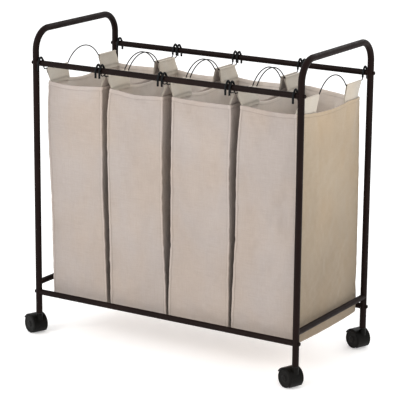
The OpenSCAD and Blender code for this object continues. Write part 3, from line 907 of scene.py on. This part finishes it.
def make_tab(n, side, lo, hi, outer, normal, info, seed):
    """A strip folded over the wire, sewn to the inside and outside of the side panel's rim."""
    v, fr, widths, nx, ny, cols = info
    k = 1 if side > 0 else 3
    start = [0, nx - 1, nx - 1 + ny - 1, 2 * (nx - 1) + ny - 1][k]
    ids = [(start + c) % cols for c in range(ny)]
    y_of = outer[0, ids][:, 1]
    wx = WIRES[n][1 if side > 0 else 0]
    count = 19
    ys = np.linspace(max(lo, -0.1582), min(hi, 0.1612), count)
    order = np.argsort(y_of)

    def wall(depth, y):
        i = np.interp(depth, v, np.arange(len(v)))
        a, t = int(i), i - int(i)
        row = outer[a, ids] * (1 - t) + outer[min(a + 1, len(v) - 1), ids] * t
        return (
            np.interp(y, y_of[order], row[order, 0]),
            np.interp(y, y_of[order], row[order, 2]),
        )

    r = 0.0019
    prof = []
    lean = side
    for c, y in enumerate(ys):
        x8, z8 = wall(0.0092, y)
        x4, z4 = wall(0.0046, y)
        x0, z0 = wall(0.0005, y)
        half = 0.0012
        pts = []
        # outer layer, bottom to top, against the inside of the wall
        pts.append((x8 - side * 0.0036, z8))
        pts.append((x4 - side * 0.0036, z4))
        pts.append((x0 - side * 0.0035, z0 + 0.0002))
        mid_x = x0 - side * 0.0041
        base = np.array([mid_x, z0 + 0.0030])
        top = np.array([wx, WIRE_Z - 0.0058])
        direction = (top - base) / np.linalg.norm(top - base)
        across = np.array([direction[1], -direction[0]])  # towards +x when upright
        if across[0] * side < 0:
            across = -across
        for s in (0.04, 0.2, 0.4, 0.6, 0.8, 1.0):
            q = base * (1 - s) + top * s
            gap = half * (1.0 - 0.25 * math.sin(math.pi * s)) + 0.0007 * s
            bow = 0.0006 * math.sin(math.pi * s) * math.sin(2.2 * math.pi * (c / count) + seed)
            pts.append(tuple(q + across * (gap + bow)))
        # round the wire
        for a in np.linspace(-52, 232, 12):
            ang = math.radians(a)
            pts.append((wx + side * (r + 0.0004) * math.cos(ang), WIRE_Z + (r + 0.0004) * math.sin(ang)))
        for s in (1.0, 0.8, 0.6, 0.4, 0.2, 0.04):
            q = base * (1 - s) + top * s
            gap = half * (1.0 - 0.25 * math.sin(math.pi * s)) + 0.0007 * s
            bow = 0.0006 * math.sin(math.pi * s) * math.sin(2.2 * math.pi * (c / count) + seed)
            pts.append(tuple(q + across * (-gap + bow)))
        inner = 0.0048
        pts.append((x0 - side * inner, z0 + 0.0002))
        pts.append((x4 - side * (inner + 0.0003), z4))
        pts.append((x8 - side * (inner + 0.0003), z8))
        prof.append([(px, y, pz) for px, pz in pts])
    g = np.array(prof)  # columns along y, points along the profile
    rng = np.random.default_rng(seed)
    wav = bumpy(seed + 50, [(0.080, 0.00045), (0.03, 0.00010)], ys[:, None], g[:, :, 2])
    g[:, 3:9, 0] += wav[:, 3:9]
    g[:, 21:27, 0] += wav[:, 21:27]
    rows, cols2 = g.shape[:2]
    quads = []
    for i in range(rows - 1):
        for j in range(cols2 - 1):
            q = (i * cols2 + j, i * cols2 + j + 1, (i + 1) * cols2 + j + 1, (i + 1) * cols2 + j)
            quads.append(q if side < 0 else q[::-1])
    vv, ff, kinds = shell(g.reshape(-1, 3), np.array(quads), 0.0005, 0.0005)
    outer_half = np.tile(np.arange(cols2 - 1) < 12, rows - 1) & (side > 0 and n < 4)
    index = np.concatenate([outer_half, outer_half, np.zeros(len(ff) - 2 * len(quads), bool)]).astype(int)
    ob = new_object(f"bag_{n}_tab_{'right' if side > 0 else 'left'}_{'front' if lo < 0 else 'rear'}", vv, ff, [TABCLOTH, SHADECLOTH], index)
    zt = g[:, :, 2]
    shade = 1.0 - 0.22 * np.exp(-(((zt - zt[:, 3:4] + 0.003) / 0.0016) ** 2)) + 0.05 * (zt > WIRE_Z)
    shade[[0, -1]] += 0.05
    if side > 0 and n < 4:
        shade[:, :12] *= 0.84
    give_tone(ob, shade.reshape(-1), len(vv))
    sub = ob.modifiers.new("Smooth", "SUBSURF")
    sub.levels = sub.render_levels = 1
    return ob


for n in (1, 2, 3, 4):
    body, outer, normal, ring, info = build_bag(n)
    pieces = []
    for side in (-1, 1):
        for lo, hi in (TAB_FRONT, TAB_REAR):
            pieces.append(make_tab(n, side, lo, hi, outer, normal, info, 10 * n + (side + 1) + (lo > 0)))
    sv, sf = make_stitches(n, outer, normal, info)
    pieces.append(new_object(f"bag_{n}_stitches", sv, sf, [THREADS], smooth=False))
    for ob in [body] + pieces:
        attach(ob, f"bag_{n}_assembly")
    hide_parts(f"bag_{n}")


# ---------------------------------------------------------------- floor and light
def floor():
    me = bpy.data.meshes.new("floor")
    s = 30.0
    me.from_pydata([(-s, -s, 0), (s, -s, 0), (s, s, 0), (-s, s, 0)], [], [(0, 1, 2, 3)])
    ob = bpy.data.objects.new("floor", me)
    scene.collection.objects.link(ob)
    n = Nodes("floor_finish")
    n.link(n.ramp(n.noise(3.0, 2.0), [(0.3, (0.93, 0.93, 0.93)), (0.7, (0.95, 0.95, 0.95))]), n.bsdf.inputs["Base Color"])
    n.set(Roughness=0.9, Specular_IOR_Level=0.1, Emission_Color=(1.0, 1.0, 1.0, 1.0), Emission_Strength=0.30)
    me.materials.append(n.mat)


def area(name, where, target, size, power, colour):
    data = bpy.data.lights.new(name, "AREA")
    data.shape = "RECTANGLE"
    data.size, data.size_y = size
    data.energy = power
    data.color = colour
    ob = bpy.data.objects.new(name, data)
    scene.collection.objects.link(ob)
    ob.location = where
    ob.rotation_euler = (Vector(target) - Vector(where)).to_track_quat("-Z", "Y").to_euler()
    return ob


floor()
area("key", (-1.6, -4.2, 3.0), (0, 0, 0.45), (2.6, 2.0), 100, (1.0, 0.98, 0.97))
area("fill", (3.8, -1.0, 2.2), (0.3, 0, 0.45), (2.4, 2.2), 30, (1.0, 0.97, 0.92))
area("rear", (0.5, 3.5, 2.6), (0, 0, 0.5), (3.0, 1.6), 30, (1.0, 1.0, 1.0))
world = bpy.data.worlds.new("studio")
scene.world = world
world.use_nodes = True
world.node_tree.nodes["Background"].inputs[0].default_value = (1.0, 1.0, 1.0, 1.0)
world.node_tree.nodes["Background"].inputs[1].default_value = 0.92
scene.view_settings.view_transform = "Standard"
scene.view_settings.look = "None"
scene.view_settings.exposure = 0.0

bpy.context.view_layer.update()
